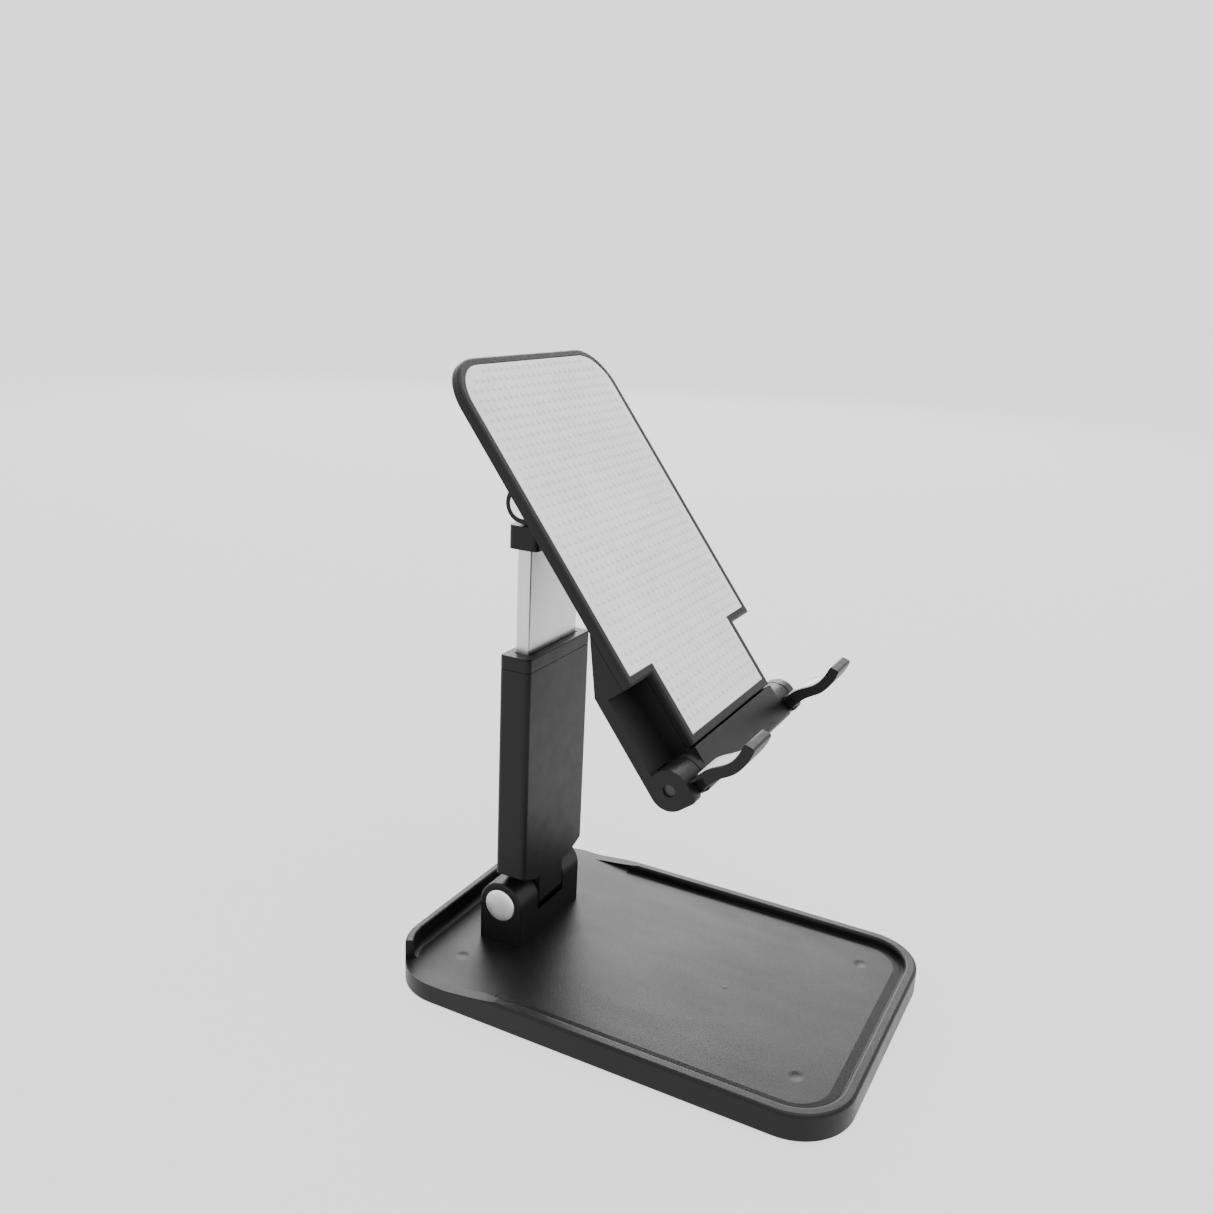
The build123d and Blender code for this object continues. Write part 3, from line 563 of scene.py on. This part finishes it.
def solids_along(node, outwards):
    """The outer end's centre and the length of each solid in a CAD node, along this direction."""
    form = merged_form(node)
    form.verts.index_update()
    seen, found = set(), []
    for first in form.verts:
        if first.index in seen:
            continue
        seen.add(first.index)
        group, waiting = [], [first]
        while waiting:
            vert = waiting.pop()
            group.append(vert.co.copy())
            for edge in vert.link_edges:
                other = edge.other_vert(vert)
                if other.index not in seen:
                    seen.add(other.index)
                    waiting.append(other)
        heights = [co.dot(outwards) for co in group]
        top, low = max(heights), min(heights)
        rim = [co for co, height in zip(group, heights) if top - height < 4 * merge_gap]
        found.append((sum(rim, Vector()) / len(rim), top - low))
    form.free()
    return sorted(found, key=lambda item: tuple(item[0]))


screws_for(
    "slider_screws",
    "slider_head_screws",
    Vector((0, 1, 0)),
    slider_screw_head_r,
    slider_screw_head_h,
    "slider",
)

# ---- Head hinge ----
# A steel pin through two lugs on the head's back and the knuckle between them, with black acetal
# washers and an aluminium disc pressed in over each end.

finish_node("head_hinge_pin", zinc)
finish_node("head_hinge_washers", black_acetal)
hinge_discs("head_hinge", "head_disc_aluminium", "head")

# ---- Head shell and front ----
# Two black ABS mouldings: a back shell that thins out towards its edges, and a front frame with a
# rounded edge. Four blackened screws from behind hold them together.

shell_edge = 0.25 * mm
front_edge = 0.15 * mm
head_screw_head_r = 1.48 * mm
head_screw_head_h = 1.0 * mm
lean = radians(37.2)  # of the plate, from upright

head_plastic = moulded_black("head_plastic", 0.36, 0.45)
softened("head_back", shell_edge, head_plastic, sharp=42.0)
softened("head_front", front_edge, head_plastic, sharp=50.0)

up_plate = Vector((0, sin(lean), cos(lean)))
out_of_plate = Vector((0, -cos(lean), sin(lean)))
screws_for(
    "head_screws", "head_shell_screws", -out_of_plate, head_screw_head_r, head_screw_head_h, "head"
)

# ---- Head pad ----
# A sheet of white silicone glued into the front's recess. Its face is moulded with a square grid of
# small round dots that grip the phone. The sheet between the dots is coloured a darker grey than
# the dots, as painted shade between them; the dots keep the silicone's own white.

dot_pitch = 2.05 * mm
dot_r = 0.6 * mm
dot_top = 0.6  # a dot's top, as a part of its foot's radius
dot_h = 0.32 * mm
dot_middle = 0.4  # a dot's middle above the sheet, as a part of its height
dot_sides = 12
dot_margin = 1.2 * mm
margin_slack = 0.01 * mm
pad_edge_r = 0.2 * mm


def silicone(name, shadow, light, least_rough):
    """Soft matt silicone: slightly cloudy, and light passes a little way into it."""
    recipe = Recipe(name)
    cloud = recipe.noise(55.0, 3.0)
    bloom = recipe.noise(1500.0, 3.0)
    color = recipe.shade(cloud, shadow, light)
    made = recipe.finish(
        color,
        recipe.span(cloud, least_rough, least_rough + 0.1),
        bloom,
        0.02 * mm,
        Subsurface_Weight=0.12,
        Subsurface_Scale=0.8 * mm,
        Specular_IOR_Level=0.4,
    )
    recipe.shader.inputs["Subsurface Radius"].default_value = (1.0, 0.9, 0.8)
    return made


# Painted shade: the sheet is one white silicone with the dots, but is coloured darker to stand for
# the shade between the dots.
white_silicone = silicone("white_silicone", (0.58, 0.58, 0.58), (0.64, 0.64, 0.64), 0.46)
dot_silicone = silicone("white_silicone_dots", (0.90, 0.90, 0.895), (0.95, 0.95, 0.95), 0.40)
pad_form = merged_form("head_pad")
bmesh.ops.dissolve_limit(
    pad_form, angle_limit=flat_angle, verts=pad_form.verts, edges=pad_form.edges
)
pad_face = max(pad_form.faces, key=lambda face: face.normal.dot(out_of_plate) * face.calc_area())
pad_face_n = pad_face.verts[0].co.dot(out_of_plate)
pad_outline = [vert.co.copy() for vert in pad_face.verts]
round_edges(pad_form, list(pad_face.edges), pad_edge_r, 2)


def clear_of_edge(point, margin):
    """Whether a point on the pad's face is inside its outline and this far from every side."""
    inside = False
    for here, after in zip(pad_outline, pad_outline[1:] + pad_outline[:1]):
        side = after - here
        along = max(0.0, min(1.0, (point - here).dot(side) / side.length_squared))
        if (point - here - along * side).length < margin:
            return False
        here_s, after_s, s = here.dot(up_plate), after.dot(up_plate), point.dot(up_plate)
        if (here_s > s) != (after_s > s):
            if point.x < here.x + (s - here_s) * (after.x - here.x) / (after_s - here_s):
                inside = not inside
    return inside


pad_low_s = min(co.dot(up_plate) for co in pad_outline)
pad_high_s = max(co.dot(up_plate) for co in pad_outline)
pad_half_x = max(co.x for co in pad_outline)
columns = int(pad_half_x / dot_pitch)
rows = int((pad_high_s - pad_low_s) / dot_pitch)
to_plate = Matrix((Vector((1, 0, 0)), up_plate, out_of_plate)).transposed().to_4x4()
for row in range(rows + 1):
    for column in range(-columns, columns + 1):
        s = pad_high_s - dot_margin - row * dot_pitch
        place = Vector((column * dot_pitch, 0, 0)) + s * up_plate + pad_face_n * out_of_plate
        if not clear_of_edge(place, dot_margin - margin_slack):
            continue
        dot = bmesh.ops.create_cone(
            pad_form,
            cap_ends=True,
            segments=dot_sides,
            radius1=dot_r,
            radius2=dot_top * dot_r,
            depth=dot_h,
            matrix=Matrix.Translation(place + dot_middle * dot_h * out_of_plate) @ to_plate,
        )
        for face in {face for vert in dot["verts"] for face in vert.link_faces}:
            face.material_index = 1
# The sheet keeps the darker material, which is painted shade between the dots.
dotted_pad = piece_from(
    pad_form, "head_pad_dotted", white_silicone, "head", "head_pad", smooth=60.0
)
dotted_pad.data.materials.append(dot_silicone)

# ---- Hooks ----
# Each hook is moulded in black ABS with a softened edge, and swings on a short blackened steel pin.
# A pale silicone lining is set into its inner side, where the phone rests.

hook_edge = 0.28 * mm
lining_edge = 0.22 * mm

hook_plastic = moulded_black("hook_plastic", 0.36, 0.44)
grey_silicone = silicone("grey_silicone", (0.60, 0.60, 0.60), (0.70, 0.70, 0.70), 0.42)
for side in ("left", "right"):
    softened("hook_" + side, hook_edge, hook_plastic, sharp=40.0)
    lining = "hook_lining_" + side
    softened("hook_pad_" + side, lining_edge, grey_silicone, lining, sharp=40.0)
    finish_node("hook_pin_" + side, blackened)
